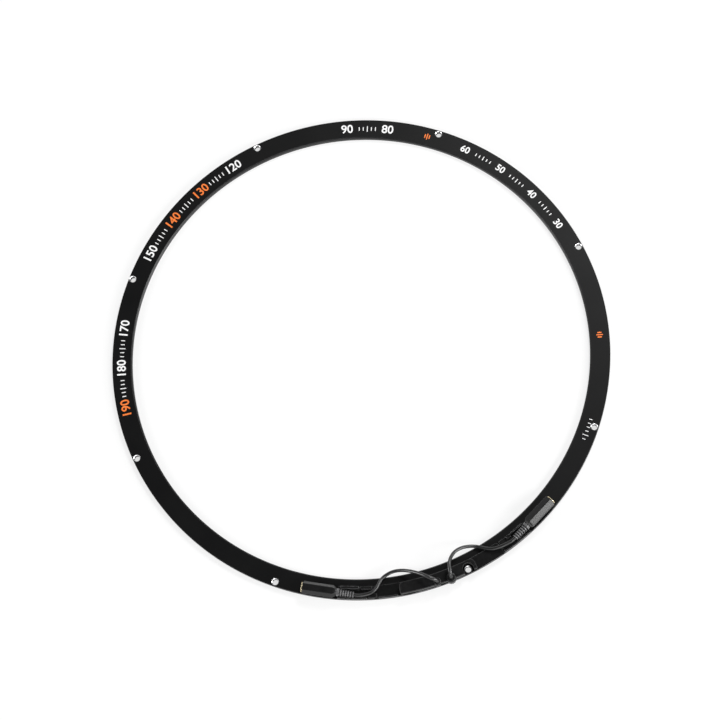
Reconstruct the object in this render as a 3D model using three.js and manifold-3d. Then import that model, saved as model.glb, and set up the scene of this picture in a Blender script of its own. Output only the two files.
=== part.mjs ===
// Dew heater ring for the front of a large telescope, with its control module and two short socket leads.
// Millimetres. The ring lies on its back face at z = 0 round the Z axis, and +Z points out of its front face.
// The module and the sockets lie along the bottom of the ring, towards -Y. Angles are in degrees from +X.

import * as THREE from 'three';
import { mergeVertices } from 'three/addons/utils/BufferGeometryUtils.js';
import Module from 'manifold-3d';

// Clearances
const seatGap = 0.3;
const boreGap = 0.3;

// Ring
const boreRadius = 178;
const ringWidth = 15.5;
const ringThickness = 4;
const boreChamfer = 0.8;
const rimChamfer = 0.25;
const rimRadius = boreRadius + ringWidth;

// Screw holes through the ring
const holeCount = 8;
const holeInset = 3.3;
const holeDiameter = 4.5;
const sinkDiameter = 5.6;
const sinkDepth = 0.55;
const holeCircle = rimRadius - holeInset;
const holePitch = 360 / holeCount;

// Heater in a groove in the back of the ring
const grooveInset = 1.6;
const grooveWidth = 7.2;
const filmRecess = 0.1;
const filmThickness = 0.5;
const foilThickness = 0.4;
const foilBottom = filmRecess + filmThickness + seatGap;
const foilTop = foilBottom + foilThickness;
const grooveDepth = foilTop + seatGap;
const grooveInner = boreRadius + grooveInset;
const grooveOuter = grooveInner + grooveWidth;

// Module base, a thin plate with a chorded outer edge
const baseFrom = -89.4;
const baseTo = -58.6;
const baseChords = 4;
const baseThickness = 1.3;
const baseWidth = 9.9;
const baseOverhang = 0.12;
const baseCorner = 3;
const lipFrom = -88.6;
const lipTo = -84.3;
const lipWidth = 1;
const lipHeight = 0.9;
const baseBottom = ringThickness + seatGap;
const baseTop = baseBottom + baseThickness;
const baseInner = rimRadius - baseWidth;

// Notch that leaves the screw hole under the module free
const notchHole = -1.5 * holePitch;
const notchRadius = 4.1;

// Module cover
const coverFrom = -83.75;
const coverTo = -65.5;
const coverStep = 0.6;
const coverRimInset = 0.2;
const coverHeight = 4.6;
const coverWall = 1.2;
const coverCorner = 4.1;
const coverOuterCorner = 1.2;
const coverChamfer = 0.5;
const notchWall = 1.2;
const coverBottom = baseTop + seatGap;
const coverTop = coverBottom + coverHeight;
const coverInner = baseInner + coverStep;
const coverOuter = rimRadius - coverRimInset;
const degreesPerMm = 180 / Math.PI / holeCircle;
const cavityTo = notchHole - (notchRadius + notchWall) * degreesPerMm;

// Leads and the grommets that they leave the cover by
const leadDiameter = 2.6;
const grommetFlange = 1.1;
const grommetEdge = 0.5;
const neckWall = 0.9;
const neckReach = 0.3;
const ports = {
  power: { angle: -75.05, inset: 2.5, bossRadius: 3.1 },
  sensor: { angle: -71.85, inset: 1.7, bossRadius: 3.8 },
};
const leadBore = leadDiameter / 2 + boreGap;
const neckRadius = leadBore + neckWall;
const grommetBottom = coverTop + seatGap;

// Circuit board, heater wires and thermistor under the cover
const boardFrom = -82.6;
const boardTo = -76.9;
const boardThickness = 1;
const wireDiameter = 0.9;
const wireAngle = -79.6;
const wireSpacing = 2.2;
const thermistorAngle = -81.7;
const thermistorInset = 4.3;
const thermistorDiameter = 2.8;
const thermistorHeight = 1.7;
const boardBottom = baseTop + seatGap;
const boardInner = coverInner + coverWall + seatGap;
const boardOuter = coverOuter - coverWall - seatGap;
const wireRadius = wireDiameter / 2;
const wireCircle = boardInner + wireRadius;
const thermistorCircle = rimRadius - thermistorInset;
const thermistorTop = ringThickness;
const thermistorBottom = thermistorTop - thermistorHeight;

// Screws that hold the base from behind
const screwAngles = [-87.2, -61.6];
const screwInset = 4;
const screwDiameter = 2;
const screwSocket = 0.7;
const screwHeadDiameter = 3.6;
const screwHeadHeight = 1;
const screwRecess = 0.1;
const screwCover = 0.3;
const screwCircle = rimRadius - screwInset;

// In-line socket on each lead, along a local X axis whose origin is the middle of its six-sided body
const bodySides = 6;
const bodyLength = 25.4;
const bodyAcrossFlats = 8.5;
const tailLength = 2.6;
const tailRadius = 3.2;
const mouthChamfer = 0.5;
const sleeveDepth = 11;
const sleeveWall = 0.6;
const rimThickness = 0.6;
const insulatorRecess = 1.2;
const insulatorTail = 8.5;
const contactDepth = 9.5;
const contactRoot = 3.5;
const stubRadius = 1.8;
const stubLength = 3.5;
const collarRadius = 2.9;
const collarLength = 2;
const ribCount = 6;
const ribPitch = 1.87;
const ribWidth = 1.05;
const ribRadius = 2.5;
const ribTaper = 0.4;
const ribRoot = 1.6;
const bodyRadius = bodyAcrossFlats / 2 / Math.cos(Math.PI / bodySides);
const sockets = {
  power: {
    angle: -102.05, inset: 4.9, forward: -1, edgeUp: false, restHeight: bodyAcrossFlats / 2,
    sleeveRadius: 3.3, sleeveRim: 3.8, contactBore: 1.7, contactRadius: 0.8, contactReach: 8.5,
  },
  sensor: {
    angle: -46.84, inset: 5.6, forward: 1, edgeUp: true, restHeight: bodyRadius,
    sleeveRadius: 3, sleeveRim: 3.5, contactBore: 1.4, contactRadius: 0.8, contactReach: 3,
  },
};
const mouthX = bodyLength / 2;
const tailX = -bodyLength / 2;
const collarX = tailX - seatGap;
const ribStart = collarX - collarLength;
const reliefEnd = ribStart - ribCount * ribPitch;

// Cradles that hold the strain reliefs
const floorThickness = 1;
const floorWidth = 9.5;
const saddleHeight = 3.4;
const saddleHalfWidth = 2.5;
const saddleEndInset = 0.7;
const railHeight = 4.6;
const cradleLipWidth = 1;
const cradleLipHeight = 0.8;
const tabHeight = 2.4;
const tabWidth = 2.1;
const cradleCorner = 0.3;
const tabCorner = 0.6;
const cradles = {
  power: {
    from: -97.9, to: -89.6, lipTo: -91.3,
    railFrom: -97.2, railTo: -93, railWidth: 1.9, tabFrom: -92.6, tabTo: -90,
  },
  sensor: {
    from: -58.35, to: -51, lipTo: -51,
    railFrom: -54.9, railTo: -51.6, railWidth: 1, tabFrom: -56.3, tabTo: -55.2,
  },
};
const floorTop = baseBottom + floorThickness;
const floorInner = rimRadius - floorWidth;

// Clip beside the power lead
const clipAngle = -89.93;
const clipInset = 2.1;
const clipLength = 6.6;
const clipWidth = 3.4;
const clipHeight = 1.1;
const clipCorner = 0.9;
const clipChamfer = 0.3;

// How far a cutting tool reaches past what it cuts
const overcut = 1;

// Facets round a full turn
const ringFacets = 96;
const smallFacets = 16;
const wireHoleFacets = 12;
const baseArcFacets = 12;
const leadFacets = 8;
const leadSteps = 36;

// Routes of the two leads, from the grommet to the strain relief
const leadRoutes = {
  power: [
    [49.4, -184.6, 12.2], [49, -184.5, 14.4], [47.6, -183.9, 16.5], [45, -182.8, 17.6],
    [41.6, -181.1, 17.3], [37.5, -178.9, 15.7], [32.4, -176.6, 13], [27, -174.8, 10.1],
    [21.7, -173.9, 7.9], [16.4, -174.2, 6.3], [12.1, -175.8, 5.8], [8.7, -178.1, 6],
    [6.5, -180.7, 6.7], [4.9, -183.5, 7.5], [3.2, -186.2, 8.1], [0.8, -188.4, 8.5],
    [-2.6, -189.9, 8.6], [-6.6, -190.6, 8.55], [-10.4, -190.58, 8.55], [-13.41, -189.98, 8.55],
  ],
  sensor: [
    [59.8, -182.3, 12.2], [59.7, -181.9, 14.4], [59.5, -180.4, 16.6], [59.2, -177.7, 17.9],
    [59.1, -174.4, 17.8], [59.6, -170.5, 16.5], [61.4, -166.2, 14.2], [64.4, -162.6, 11.6],
    [68.7, -160.1, 9], [73.9, -158.9, 7], [79.1, -159, 6.1], [83.5, -160.1, 6.5],
    [87.6, -161.3, 7.3], [91.7, -161.9, 7.9], [95.9, -161.4, 8.5], [100.3, -160.1, 9],
    [104.3, -158.4, 9.2], [107.36, -156.91, 9.2], [109.18, -155.2, 9.2],
  ],
};

const wasm = await Module();
wasm.setup();

const finishes = {
  anodised: { color: 0x17181a, roughness: 0.55, metalness: 0.5 },
  foil: { color: 0xb87333, roughness: 0.35, metalness: 1 },
  film: { color: 0x1b1b1c, roughness: 0.7, metalness: 0 },
  moulded: { color: 0x202123, roughness: 0.5, metalness: 0 },
  rubber: { color: 0x161616, roughness: 0.75, metalness: 0 },
  jacket: { color: 0x1c1c1d, roughness: 0.42, metalness: 0 },
  plated: { color: 0xd8c9a3, roughness: 0.25, metalness: 1 },
  nickel: { color: 0xc9ccd0, roughness: 0.25, metalness: 1 },
  insulator: { color: 0x2b2b2d, roughness: 0.5, metalness: 0 },
  board: { color: 0x1d5a34, roughness: 0.5, metalness: 0 },
  copper: { color: 0xb06a3b, roughness: 0.4, metalness: 1 },
  bead: { color: 0x3a2c20, roughness: 0.4, metalness: 0 },
  steel: { color: 0x8d9095, roughness: 0.35, metalness: 1 },
};

const radians = THREE.MathUtils.degToRad;

// A closed solid from a geometry, with its seams merged
function toSolid(geometry) {
  geometry.deleteAttribute('normal');
  geometry.deleteAttribute('uv');
  const merged = mergeVertices(geometry, 1e-4);
  const place = merged.attributes.position;
  const corners = merged.index.array;
  const triangles = [];
  let volume = 0;
  const a = new THREE.Vector3();
  const b = new THREE.Vector3();
  const c = new THREE.Vector3();
  for (let i = 0; i < corners.length; i += 3) {
    const [p, q, r] = corners.slice(i, i + 3);
    if (p === q || q === r || r === p) continue;
    triangles.push([p, q, r]);
    a.fromBufferAttribute(place, p);
    b.fromBufferAttribute(place, q);
    c.fromBufferAttribute(place, r);
    volume += a.dot(b.cross(c));
  }
  const outward = volume < 0 ? triangles.map(([p, q, r]) => [p, r, q]) : triangles;
  return new wasm.Manifold(new wasm.Mesh({
    numProp: 3,
    vertProperties: new Float32Array(place.array),
    triVerts: new Uint32Array(outward.flat()),
  }));
}

function polar(angle, radius) {
  return [radius * Math.cos(radians(angle)), radius * Math.sin(radians(angle))];
}

// Closed profile of [radius, height] points turned round Z
function turned(profile, facets) {
  const points = [...profile, profile[0]].map(([radius, height]) => new THREE.Vector2(radius, height));
  return new THREE.LatheGeometry(points, facets).rotateX(Math.PI / 2);
}

// Closed profile of [x, radius] points turned round the local X axis
function turnedAlongX(profile, facets = smallFacets) {
  const points = [...profile, profile[0]].map(([x, radius]) => new THREE.Vector2(radius, x));
  return new THREE.LatheGeometry(points, facets).rotateZ(-Math.PI / 2);
}

function band(inner, outer, bottom, top) {
  return toSolid(turned([[inner, bottom], [outer, bottom], [outer, top], [inner, top]], ringFacets));
}

function post([x, y], radius, bottom, top, facets = smallFacets) {
  const cylinder = new THREE.CylinderGeometry(radius, radius, top - bottom, facets);
  return toSolid(cylinder.rotateX(Math.PI / 2).translate(x, y, (bottom + top) / 2));
}

function cone([x, y], bottomRadius, topRadius, bottom, top) {
  const geometry = new THREE.CylinderGeometry(topRadius, bottomRadius, top - bottom, smallFacets);
  return toSolid(geometry.rotateX(Math.PI / 2).translate(x, y, (bottom + top) / 2));
}

function box(length, width, height, matrix) {
  return toSolid(new THREE.BoxGeometry(length, width, height).applyMatrix4(matrix));
}

// Plan of a piece of ring between two angles, with rounded corners
function sectorPlan(inner, outer, from, to, corner, outerCorner = corner) {
  const start = radians(from);
  const end = radians(to);
  const at = (radius, angle) => [radius * Math.cos(angle), radius * Math.sin(angle)];
  const outerTurn = outerCorner / outer;
  const innerTurn = corner / inner;
  const plan = new THREE.Shape();
  plan.moveTo(...at(outer, start + outerTurn));
  plan.absarc(0, 0, outer, start + outerTurn, end - outerTurn, false);
  plan.quadraticCurveTo(...at(outer, end), ...at(outer - outerCorner, end));
  plan.lineTo(...at(inner + corner, end));
  plan.quadraticCurveTo(...at(inner, end), ...at(inner, end - innerTurn));
  plan.absarc(0, 0, inner, end - innerTurn, start + innerTurn, true);
  plan.quadraticCurveTo(...at(inner, start), ...at(inner + corner, start));
  plan.lineTo(...at(outer - outerCorner, start));
  plan.quadraticCurveTo(...at(outer, start), ...at(outer, start + outerTurn));
  return plan;
}

function prism(plan, bottom, top, curveSegments = 6) {
  const depth = top - bottom;
  const geometry = new THREE.ExtrudeGeometry(plan, { depth, bevelEnabled: false, curveSegments });
  return toSolid(geometry.translate(0, 0, bottom));
}

// Prism whose top edge is chamfered
function cappedPrism(plan, bottom, top, chamfer, curveSegments = 6) {
  const cap = new THREE.ExtrudeGeometry(plan, {
    depth: top - bottom - 2 * chamfer,
    bevelThickness: chamfer,
    bevelSize: chamfer,
    bevelOffset: -chamfer,
    bevelSegments: 1,
    curveSegments,
  });
  const foot = prism(plan, bottom, (bottom + top) / 2, curveSegments);
  return toSolid(cap.translate(0, 0, bottom + chamfer)).add(foot);
}

function sector(inner, outer, from, to, bottom, top, corner = cradleCorner) {
  return prism(sectorPlan(inner, outer, from, to, corner), bottom, top);
}

// Notch round the screw hole, open to the rim
function screwNotch(bottom, top) {
  const round = post(polar(notchHole, holeCircle), notchRadius, bottom, top, 2 * smallFacets);
  const place = new THREE.Matrix4().makeRotationZ(radians(notchHole));
  const mouth = 2 * notchRadius;
  place.setPosition(...polar(notchHole, holeCircle + mouth / 2), (bottom + top) / 2);
  return round.add(box(mouth, 2 * notchRadius, top - bottom, place));
}

function makeRing() {
  const profile = [
    [boreRadius, 0],
    [grooveInner, 0],
    [grooveInner, grooveDepth],
    [grooveOuter, grooveDepth],
    [grooveOuter, 0],
    [rimRadius, 0],
    [rimRadius, ringThickness - rimChamfer],
    [rimRadius - rimChamfer, ringThickness],
    [boreRadius + boreChamfer, ringThickness],
    [boreRadius, ringThickness - boreChamfer],
  ];
  let ring = toSolid(turned(profile, ringFacets));
  for (let k = 0; k < holeCount; k += 1) {
    const centre = polar((k + 0.5) * holePitch, holeCircle);
    ring = ring.subtract(post(centre, holeDiameter / 2, -overcut, ringThickness + overcut));
    const sinkSlope = (sinkDiameter - holeDiameter) / 2 / sinkDepth;
    ring = ring.subtract(cone(
      centre, holeDiameter / 2, sinkDiameter / 2 + overcut * sinkSlope,
      ringThickness - sinkDepth, ringThickness + overcut,
    ));
  }
  for (const angle of wireAngles()) {
    const wireHole = post(
      polar(angle, wireCircle), wireRadius + boreGap, 0, ringThickness + overcut, wireHoleFacets,
    );
    ring = ring.subtract(wireHole);
  }
  const pocket = post(
    polar(thermistorAngle, thermistorCircle), thermistorDiameter / 2 + boreGap,
    thermistorBottom - seatGap, ringThickness + overcut,
  );
  ring = ring.subtract(pocket);
  for (const angle of screwAngles) {
    const centre = polar(angle, screwCircle);
    ring = ring.subtract(post(centre, screwDiameter / 2 + boreGap, -overcut, ringThickness + overcut));
    ring = ring.subtract(post(
      centre, screwHeadDiameter / 2 + boreGap, -overcut, screwRecess + screwHeadHeight + seatGap,
    ));
  }
  return ring;
}

function wireAngles() {
  const step = wireSpacing / 2 / wireCircle;
  return [-1, 1].map((side) => wireAngle + side * THREE.MathUtils.radToDeg(step));
}

function makeBase() {
  const chord = radians(baseTo - baseFrom) / baseChords;
  const corner = (rimRadius + baseOverhang) / Math.cos(chord / 2);
  const plan = new THREE.Shape();
  plan.moveTo(...polar(baseFrom, baseInner));
  for (let k = 0; k <= baseChords; k += 1) {
    plan.lineTo(...polar(baseFrom + ((baseTo - baseFrom) * k) / baseChords, corner));
  }
  plan.lineTo(...polar(baseTo, baseInner + baseCorner));
  const cornerEnd = baseTo - THREE.MathUtils.radToDeg(baseCorner / baseInner);
  plan.quadraticCurveTo(...polar(baseTo, baseInner), ...polar(cornerEnd, baseInner));
  plan.absarc(0, 0, baseInner, radians(cornerEnd), radians(baseFrom), true);
  const lip = sector(rimRadius - lipWidth, rimRadius, lipFrom, lipTo, baseBottom, baseTop + lipHeight);
  let base = prism(plan, baseBottom, baseTop, baseArcFacets).add(lip);
  for (const port of Object.values(ports)) {
    base = base.add(post(polar(port.angle, rimRadius - port.inset), port.bossRadius, baseBottom, baseTop));
  }
  base = base.subtract(screwNotch(baseBottom - overcut, baseTop + overcut));
  const wirePlaces = wireAngles().map((angle) => polar(angle, wireCircle));
  for (const place of [...wirePlaces, polar(thermistorAngle, thermistorCircle)]) {
    const wireHole = post(
      place, wireRadius + boreGap, baseBottom - overcut, baseTop + overcut, wireHoleFacets,
    );
    base = base.subtract(wireHole);
  }
  for (const angle of screwAngles) {
    const hole = post(
      polar(angle, screwCircle), screwDiameter / 2 + boreGap, baseBottom - overcut, baseTop - screwCover,
    );
    base = base.subtract(hole);
  }
  return base;
}

function makeCover() {
  const plan = sectorPlan(coverInner, coverOuter, coverFrom, coverTo, coverCorner, coverOuterCorner);
  let cover = cappedPrism(plan, coverBottom, coverTop, coverChamfer);
  for (const port of Object.values(ports)) {
    const centre = polar(port.angle, rimRadius - port.inset);
    cover = cover.add(post(centre, port.bossRadius, coverBottom, coverTop));
  }
  const wallTurn = coverWall * degreesPerMm;
  cover = cover.subtract(sector(
    coverInner + coverWall, coverOuter - coverWall, coverFrom + wallTurn, cavityTo,
    coverBottom - overcut, coverTop - coverWall, coverCorner - coverWall,
  ));
  for (const port of Object.values(ports)) {
    const centre = polar(port.angle, rimRadius - port.inset);
    cover = cover.subtract(post(
      centre, neckRadius + boreGap, coverTop - coverWall - neckReach, coverTop + overcut,
    ));
  }
  return cover.subtract(screwNotch(coverBottom - overcut, coverTop + overcut));
}

// Rubber ring with a neck through the cover's top
function makeGrommet(port) {
  const centre = polar(port.angle, rimRadius - port.inset);
  const flange = port.bossRadius - grommetEdge;
  const top = grommetBottom + grommetFlange;
  const softEdge = grommetFlange / 3;
  const profile = [
    [leadBore, coverTop - coverWall],
    [neckRadius, coverTop - coverWall],
    [neckRadius, grommetBottom],
    [Math.max(flange, neckRadius), grommetBottom],
    [Math.max(flange, neckRadius), top - softEdge],
    [Math.max(flange, neckRadius) - softEdge, top],
    [leadBore, top],
  ];
  return toSolid(turned(profile, smallFacets).translate(...centre, 0));
}

function makeBoard() {
  return sector(boardInner, boardOuter, boardFrom, boardTo, boardBottom, boardBottom + boardThickness);
}

function makeScrew(angle) {
  const [x, y] = polar(angle, screwCircle);
  const headTop = screwRecess + screwHeadHeight;
  const profile = [
    [0, screwRecess + screwHeadHeight / 2],
    [screwSocket, screwRecess + screwHeadHeight / 2],
    [screwSocket, screwRecess],
    [screwHeadDiameter / 2, screwRecess],
    [screwHeadDiameter / 2, headTop],
    [screwDiameter / 2, headTop],
    [screwDiameter / 2, baseTop - screwCover - seatGap],
    [0, baseTop - screwCover - seatGap],
  ];
  return toSolid(turned(profile, smallFacets).translate(x, y, 0));
}

// Moulded socket body: a six-sided bar with a tapered tail, hollow from its mouth
function makeBody(socket) {
  const bar = new THREE.CylinderGeometry(bodyRadius, bodyRadius, bodyLength, bodySides);
  bar.rotateZ(Math.PI / 2);
  if (!socket.edgeUp) bar.rotateX(Math.PI / bodySides);
  const envelope = turnedAlongX([
    [tailX, 0], [tailX, tailRadius], [tailX + tailLength, bodyRadius],
    [mouthX - mouthChamfer, bodyRadius], [mouthX, bodyRadius - mouthChamfer], [mouthX, 0],
  ], 2 * smallFacets);
  const insulatorRadius = socket.sleeveRadius - sleeveWall - boreGap;
  const insulatorEnd = mouthX - sleeveDepth - insulatorTail;
  const cavity = turnedAlongX([
    [insulatorEnd - seatGap, 0], [insulatorEnd - seatGap, insulatorRadius + boreGap],
    [mouthX - sleeveDepth - seatGap, insulatorRadius + boreGap],
    [mouthX - sleeveDepth - seatGap, socket.sleeveRadius + boreGap],
    [mouthX + overcut, socket.sleeveRadius + boreGap], [mouthX + overcut, 0],
  ]);
  const entry = turnedAlongX([
    [tailX - overcut, 0], [tailX - overcut, stubRadius + boreGap],
    [insulatorEnd, stubRadius + boreGap], [insulatorEnd, 0],
  ]);
  return toSolid(bar).intersect(toSolid(envelope)).subtract(toSolid(cavity)).subtract(toSolid(entry));
}

function makeSleeve(socket) {
  const inner = socket.sleeveRadius - sleeveWall;
  return toSolid(turnedAlongX([
    [mouthX - sleeveDepth, inner], [mouthX - sleeveDepth, socket.sleeveRadius],
    [mouthX + seatGap, socket.sleeveRadius], [mouthX + seatGap, socket.sleeveRim],
    [mouthX + seatGap + rimThickness, socket.sleeveRim], [mouthX + seatGap + rimThickness, inner],
  ]));
}

function makeInsulator(socket) {
  const radius = socket.sleeveRadius - sleeveWall - boreGap;
  const face = mouthX - insulatorRecess;
  const floor = face - contactDepth;
  const rootRadius = socket.contactRadius + boreGap;
  return toSolid(turnedAlongX([
    [mouthX - sleeveDepth - insulatorTail, 0],
    [mouthX - sleeveDepth - insulatorTail, radius],
    [face, radius],
    [face, socket.contactBore],
    [floor, socket.contactBore],
    [floor, rootRadius],
    [floor - contactRoot - seatGap, rootRadius],
    [floor - contactRoot - seatGap, 0],
  ]));
}

function makeContact(socket) {
  const floor = mouthX - insulatorRecess - contactDepth;
  const tip = floor + socket.contactReach;
  const round = socket.contactRadius / 2;
  return toSolid(turnedAlongX([
    [floor - contactRoot, 0], [floor - contactRoot, socket.contactRadius],
    [tip - round, socket.contactRadius], [tip, round], [tip, 0],
  ]));
}

// Strain relief: collar, tapering ribs and the stub that goes into the body
function makeRelief() {
  const profile = [
    [tailX + stubLength, 0], [tailX + stubLength, stubRadius], [collarX, stubRadius],
    [collarX, collarRadius], [ribStart, collarRadius],
  ];
  for (let k = 0; k < ribCount; k += 1) {
    const radius = ribRadius - (ribTaper * k) / (ribCount - 1);
    const front = ribStart - k * ribPitch - (ribPitch - ribWidth);
    const gapEnd = front + ribPitch - ribWidth;
    profile.push([gapEnd, ribRoot], [front, ribRoot], [front, radius], [front - ribWidth, radius]);
  }
  profile.push([reliefEnd, 0]);
  return toSolid(turnedAlongX(profile));
}

function axisHeightOf(socket) {
  return ringThickness + seatGap + socket.restHeight;
}

// Place and heading of a socket: local X runs along the ring towards the socket's mouth
function socketPlace(socket) {
  const place = new THREE.Group();
  place.position.set(...polar(socket.angle, rimRadius - socket.inset), axisHeightOf(socket));
  place.rotation.z = radians(socket.angle + socket.forward * 90);
  place.updateMatrixWorld();
  return place;
}

// Moulded cradle: floor, low outer lip, inner rail, end tab and a saddle under the ribs
function makeCradle(cradle, socket) {
  const railInner = floorInner + seatGap;
  let solid = sector(floorInner, rimRadius, cradle.from, cradle.to, baseBottom, floorTop);
  solid = solid.add(sector(
    rimRadius - cradleLipWidth, rimRadius, cradle.from, cradle.lipTo,
    baseBottom, floorTop + cradleLipHeight,
  ));
  solid = solid.add(sector(
    railInner, railInner + cradle.railWidth, cradle.railFrom, cradle.railTo,
    baseBottom, floorTop + railHeight,
  ));
  solid = solid.add(sector(
    railInner, railInner + tabWidth, cradle.tabFrom, cradle.tabTo, baseBottom, floorTop + tabHeight, tabCorner,
  ));
  const place = socketPlace(socket).matrixWorld;
  const saddleFrom = reliefEnd + saddleEndInset;
  const saddleTo = ribStart - saddleEndInset;
  const middle = (saddleFrom + saddleTo) / 2;
  const height = saddleHeight - floorThickness;
  const centre = floorTop + height / 2 - axisHeightOf(socket);
  const block = box(
    saddleTo - saddleFrom, 2 * saddleHalfWidth, height,
    place.clone().multiply(new THREE.Matrix4().makeTranslation(middle, 0, centre)),
  );
  const groove = turnedAlongX([
    [saddleFrom - overcut, 0], [saddleFrom - overcut, ribRadius + boreGap],
    [saddleTo + overcut, ribRadius + boreGap], [saddleTo + overcut, 0],
  ]);
  return solid.add(block).subtract(toSolid(groove.applyMatrix4(place)));
}

function makeClip() {
  const half = clipLength / 2;
  const side = clipWidth / 2;
  const plan = new THREE.Shape();
  plan.moveTo(-half + clipCorner, -side);
  plan.lineTo(half - clipCorner, -side);
  plan.quadraticCurveTo(half, -side, half, -side + clipCorner);
  plan.lineTo(half, side - clipCorner);
  plan.quadraticCurveTo(half, side, half - clipCorner, side);
  plan.lineTo(-half + clipCorner, side);
  plan.quadraticCurveTo(-half, side, -half, side - clipCorner);
  plan.lineTo(-half, -side + clipCorner);
  plan.quadraticCurveTo(-half, -side, -half + clipCorner, -side);
  return cappedPrism(plan, 0, clipHeight, clipChamfer);
}

// Round lead along its route, held straight in the strain relief's line at its end
function makeLead(route) {
  const knots = route.map((point) => new THREE.Vector3(...point));
  const path = new THREE.CatmullRomCurve3(knots, false, 'centripetal');
  const section = new THREE.Shape();
  for (let k = 0; k < leadFacets; k += 1) {
    const turn = (2 * Math.PI * k) / leadFacets;
    const corner = [leadDiameter / 2 * Math.cos(turn), leadDiameter / 2 * Math.sin(turn)];
    if (k === 0) section.moveTo(...corner);
    else section.lineTo(...corner);
  }
  section.closePath();
  return toSolid(new THREE.ExtrudeGeometry(section, { steps: leadSteps, extrudePath: path }));
}

const part = new THREE.Group();

function addPiece(name, solid, finish, parent = part) {
  const made = solid.getMesh();
  const geometry = new THREE.BufferGeometry();
  geometry.setAttribute('position', new THREE.BufferAttribute(new Float32Array(made.vertProperties), 3));
  geometry.setIndex(new THREE.BufferAttribute(new Uint32Array(made.triVerts), 1));
  geometry.computeVertexNormals();
  const mesh = new THREE.Mesh(geometry, new THREE.MeshStandardMaterial(finishes[finish]));
  mesh.name = name;
  parent.add(mesh);
  return mesh;
}

addPiece('ring_frame', makeRing(), 'anodised');
addPiece('heater_foil', band(grooveInner + seatGap, grooveOuter - seatGap, foilBottom, foilTop), 'foil');
addPiece('rear_film', band(
  grooveInner + seatGap, grooveOuter - seatGap, filmRecess, filmRecess + filmThickness,
), 'film');

addPiece('module_base', makeBase(), 'moulded');
addPiece('module_cover', makeCover(), 'moulded');
addPiece('circuit_board', makeBoard(), 'board');
wireAngles().forEach((angle, k) => {
  const wire = post(polar(angle, wireCircle), wireRadius, foilTop + seatGap, boardBottom - seatGap, 12);
  addPiece(`heater_wire_${k + 1}`, wire, 'copper');
});
addPiece('thermistor', post(
  polar(thermistorAngle, thermistorCircle), thermistorDiameter / 2, thermistorBottom, thermistorTop,
), 'bead');
addPiece('thermistor_wire', post(
  polar(thermistorAngle, thermistorCircle), wireRadius, thermistorTop + seatGap, boardBottom - seatGap, 12,
), 'copper');
screwAngles.forEach((angle, k) => addPiece(`base_screw_${k + 1}`, makeScrew(angle), 'steel'));

for (const [name, socket] of Object.entries(sockets)) {
  addPiece(`${name}_grommet`, makeGrommet(ports[name]), 'rubber');
  addPiece(`${name}_lead`, makeLead(leadRoutes[name]), 'jacket');
  addPiece(`${name}_cradle`, makeCradle(cradles[name], socket), 'moulded');
  const place = socketPlace(socket);
  part.add(place);
  addPiece(`${name}_relief`, makeRelief(), 'rubber', place);
  addPiece(`${name}_body`, makeBody(socket), 'moulded', place);
  addPiece(`${name}_sleeve`, makeSleeve(socket), name === 'power' ? 'plated' : 'nickel', place);
  addPiece(`${name}_insulator`, makeInsulator(socket), 'insulator', place);
  addPiece(`${name}_contact`, makeContact(socket), 'nickel', place);
}

const clip = addPiece('lead_clip', makeClip(), 'rubber');
clip.position.set(...polar(clipAngle, rimRadius - clipInset), baseTop + seatGap);
clip.rotation.z = radians(clipAngle + 90);

export default part;
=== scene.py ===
import math

import bpy
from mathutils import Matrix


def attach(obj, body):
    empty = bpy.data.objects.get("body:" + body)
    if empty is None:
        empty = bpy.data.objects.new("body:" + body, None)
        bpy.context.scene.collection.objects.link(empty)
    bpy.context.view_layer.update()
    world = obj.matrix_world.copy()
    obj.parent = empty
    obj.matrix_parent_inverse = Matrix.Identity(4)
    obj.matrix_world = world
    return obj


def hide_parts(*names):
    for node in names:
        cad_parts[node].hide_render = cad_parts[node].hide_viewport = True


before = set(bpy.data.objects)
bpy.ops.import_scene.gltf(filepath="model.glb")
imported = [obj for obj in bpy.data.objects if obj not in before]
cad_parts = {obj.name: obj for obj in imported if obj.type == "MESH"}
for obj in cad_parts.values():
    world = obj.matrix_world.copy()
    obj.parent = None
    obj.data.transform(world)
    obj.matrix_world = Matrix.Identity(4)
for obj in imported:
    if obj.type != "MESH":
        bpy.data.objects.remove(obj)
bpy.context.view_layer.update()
scene = bpy.context.scene
scene.view_settings.view_transform = "Standard"
mm = 0.001

# Camera, at the photograph's angle
cameraSet = {
    "lens": 102.153,
    "sensor": 36,
    "place": (0.08735, -0.45177, 1.51962),
    "turn": (16.145, 4.164, -3.007),  # degrees
}
bpy.ops.object.camera_add(location=cameraSet["place"])
camera = bpy.context.object
camera.name = "photoCamera"
camera.rotation_euler = [math.radians(t) for t in cameraSet["turn"]]
camera.data.lens = cameraSet["lens"]
camera.data.sensor_width = cameraSet["sensor"]
camera.data.clip_start = 0.05
camera.data.clip_end = 60
scene.camera = camera
print("camera ready")


# Bench work: picking, shaping and settling a piece
def only(piece):
    if bpy.context.mode != "OBJECT":
        bpy.ops.object.mode_set(mode="OBJECT")
    bpy.ops.object.select_all(action="DESELECT")
    piece.select_set(True)
    bpy.context.view_layer.objects.active = piece


def pick(piece, kind, wanted):
    # opens the piece in edit mode with only the wanted faces, edges or points selected
    only(piece)
    bpy.ops.object.mode_set(mode="EDIT")
    bpy.ops.mesh.select_mode(type=kind)
    bpy.ops.mesh.select_all(action="DESELECT")
    bpy.ops.object.mode_set(mode="OBJECT")
    items = {"FACE": piece.data.polygons, "EDGE": piece.data.edges, "VERT": piece.data.vertices}[kind]
    for item in items:
        item.select = bool(wanted(item))
    bpy.ops.object.mode_set(mode="EDIT")


def settle(piece):
    only(piece)
    bpy.ops.object.transform_apply(location=True, rotation=True, scale=True)


def named(piece, name):
    piece.name = name
    piece.data.name = name
    return piece


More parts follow.
